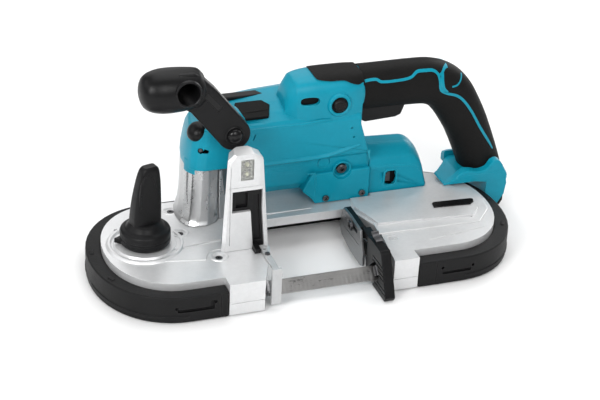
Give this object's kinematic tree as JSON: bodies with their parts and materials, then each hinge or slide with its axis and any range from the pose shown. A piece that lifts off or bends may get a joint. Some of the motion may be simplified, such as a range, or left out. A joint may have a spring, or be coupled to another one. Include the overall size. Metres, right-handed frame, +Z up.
{
  "type": "portable band saw",
  "caption": "Compact hand-held band saw lying on its wheel covers: C-shaped cast frame, enclosed blade loop round paired wheels, motor housing, D-handle, front handle and work stop.",
  "frame": {"origin": "centre of the bounding box's footprint, on the surface the saw lies on", "axes": "+X along the saw from the idler wheel end to the drive wheel and battery end, +Z up away from the wheel covers, -Y towards the open throat and the exposed blade"},
  "size_m": [0.3906, 0.19, 0.1837],
  "materials": {
    "cast_silver": "cast and painted silver, satin",
    "cover_grey": "pressed cover, satin dark grey",
    "bumper_black": "textured black rubber",
    "plastic_black": "fine textured black",
    "plastic_teal": "fine textured blue-green",
    "grip_black": "soft overmoulded black",
    "steel_bright": "bright machined steel",
    "steel_dark": "dark plated steel",
    "blade_steel": "grey strip steel",
    "wheel_alloy": "machined cast alloy",
    "tyre_black": "moulded wheel tyre",
    "lens_clear": "clear moulded lens",
    "guard_grey": "light grey paint",
    "copper": "wound copper",
    "plate_black": "plain gloss plate"
  },
  "bodies": {
    "frame": {"deck_frame": "cast_silver", "guide_tower": "cast_silver", "support_pillar": "cast_silver", "wheel_cover_front": "cover_grey", "wheel_cover_rear": "cover_grey", "return_channel": "cover_grey", "bumper_front": "bumper_black", "bumper_rear": "bumper_black", "guide_insert": "plastic_black", "guide_shoe": "plastic_black", "stopper_bracket": "plastic_black", "brush_cap": "plastic_black", "case_window": "plastic_black", "trigger_switch": "plastic_black", "battery_rail": "plastic_black", "motor_housing": "plastic_teal", "housing_front_cap": "plastic_teal", "gear_case": "plastic_teal", "handle_core": "plastic_teal", "battery_base": "plastic_teal", "handle_grip_outer": "grip_black", "handle_grip_inner": "grip_black", "housing_pad": "grip_black", "stopper_screw": "steel_bright", "shoe_clip": "steel_bright", "motor_stator": "steel_dark", "housing_screw_a": "steel_dark", "housing_screw_b": "steel_dark", "lobe_screw_a": "steel_dark", "lobe_screw_b": "steel_dark", "lobe_screw_c": "steel_dark", "lobe_screw_d": "steel_dark", "blade_loop": "blade_steel", "lamp_lens": "lens_clear", "front_blade_guard": "guard_grey", "name_plate": "plate_black"},
    "drive_wheel_set": {"drive_wheel": "wheel_alloy", "drive_tyre": "tyre_black", "drive_shaft": "steel_bright", "drive_gear": "steel_bright"},
    "idler_carrier": {"idler_carriage": "steel_bright"},
    "idler_wheel_set": {"idler_wheel": "wheel_alloy", "idler_tyre": "tyre_black"},
    "lay_shaft_set": {"lay_shaft": "steel_bright", "lay_bevel_gear": "steel_bright"},
    "rotor_set": {"motor_rotor": "copper", "motor_bevel_pinion": "steel_dark"},
    "front_roller_a": {"front_roller_a": "steel_bright"},
    "front_roller_b": {"front_roller_b": "steel_bright"},
    "rear_roller_a": {"rear_roller_a": "steel_bright"},
    "rear_roller_b": {"rear_roller_b": "steel_bright"},
    "tension_lever": {"tension_lever": "plastic_black", "tension_cam": "steel_bright"},
    "front_handle": {"front_handle": "plastic_black", "pivot_bolt": "steel_bright"},
    "trigger": {"trigger": "plastic_black", "trigger_spring": "steel_bright"},
    "lock_off_button": {"lock_off_button": "plastic_black"},
    "stopper_plate": {"stopper_plate": "steel_dark"}
  },
  "joints": [
    {"name": "drive_wheel_spin", "type": "hinge", "parent": "frame", "child": "drive_wheel_set", "pos_m": [0.09625, -0.003, 0.0115], "axis": [0, 0, 1], "continuous": true},
    {"name": "idler_carriage_slide", "type": "slide", "parent": "frame", "child": "idler_carrier", "axis": [1, 0, 0], "range_m": [0, 0.0032]},
    {"name": "idler_wheel_spin", "type": "hinge", "parent": "idler_carrier", "child": "idler_wheel_set", "pos_m": [-0.11775, -0.003, 0.0115], "axis": [0, 0, 1], "continuous": true},
    {"name": "lay_shaft_spin", "type": "hinge", "parent": "frame", "child": "lay_shaft_set", "pos_m": [0.08925, 0.054, 0.04], "axis": [0, 0, 1], "continuous": true},
    {"name": "motor_rotor_spin", "type": "hinge", "parent": "frame", "child": "rotor_set", "pos_m": [0.00925, 0.054, 0.064], "axis": [1, 0, 0], "continuous": true},
    {"name": "tension_lever_turn", "type": "hinge", "parent": "frame", "child": "tension_lever", "pos_m": [-0.14675, -0.001, 0.038], "axis": [0, 0, 1], "range_deg": [0, 180]},
    {"name": "front_handle_swing", "type": "hinge", "parent": "frame", "child": "front_handle", "pos_m": [-0.07515, 0.001, 0.1277], "axis": [0, 1, 0], "range_deg": [-20, 45]},
    {"name": "trigger_press", "type": "slide", "parent": "frame", "child": "trigger", "axis": [0, 0, 1], "range_m": [0, 0.005], "stiffness_N_per_m": 400, "springref_m": -0.002, "deforming": ["trigger_spring"]},
    {"name": "lock_off_press", "type": "slide", "parent": "frame", "child": "lock_off_button", "axis": [0, 1, 0], "range_m": [0, 0.003], "stiffness_N_per_m": 300, "springref_m": -0.001},
    {"name": "stopper_plate_slide", "type": "slide", "parent": "frame", "child": "stopper_plate", "axis": [0, 1, 0], "range_m": [-0.008, 0.003]},
    {"name": "front_roller_a_spin", "type": "hinge", "parent": "frame", "child": "front_roller_a", "pos_m": [-0.06135, -0.069, 0.0155], "axis": [0, -0.7071, -0.7071], "continuous": true},
    {"name": "front_roller_b_spin", "type": "hinge", "parent": "frame", "child": "front_roller_b", "pos_m": [-0.06135, -0.061, 0.00751], "axis": [0, -0.7071, -0.7071], "continuous": true},
    {"name": "rear_roller_a_spin", "type": "hinge", "parent": "frame", "child": "rear_roller_a", "pos_m": [0.03555, -0.069, 0.0155], "axis": [0, -0.7071, -0.7071], "continuous": true},
    {"name": "rear_roller_b_spin", "type": "hinge", "parent": "frame", "child": "rear_roller_b", "pos_m": [0.03555, -0.061, 0.00751], "axis": [0, -0.7071, -0.7071], "continuous": true}
  ],
  "couplings": [
    {"joint": "idler_wheel_spin", "follows": "drive_wheel_spin", "ratio": 1},
    {"joint": "lay_shaft_spin", "follows": "drive_wheel_spin", "ratio": -3},
    {"joint": "motor_rotor_spin", "follows": "drive_wheel_spin", "ratio": 6},
    {"joint": "tension_lever_turn", "follows": "idler_carriage_slide", "rad_per_m": 981.75},
    {"joint": "front_roller_a_spin", "follows": "drive_wheel_spin", "ratio": 12.4},
    {"joint": "front_roller_b_spin", "follows": "drive_wheel_spin", "ratio": -12.4},
    {"joint": "rear_roller_a_spin", "follows": "drive_wheel_spin", "ratio": 12.4},
    {"joint": "rear_roller_b_spin", "follows": "drive_wheel_spin", "ratio": -12.4}
  ]
}
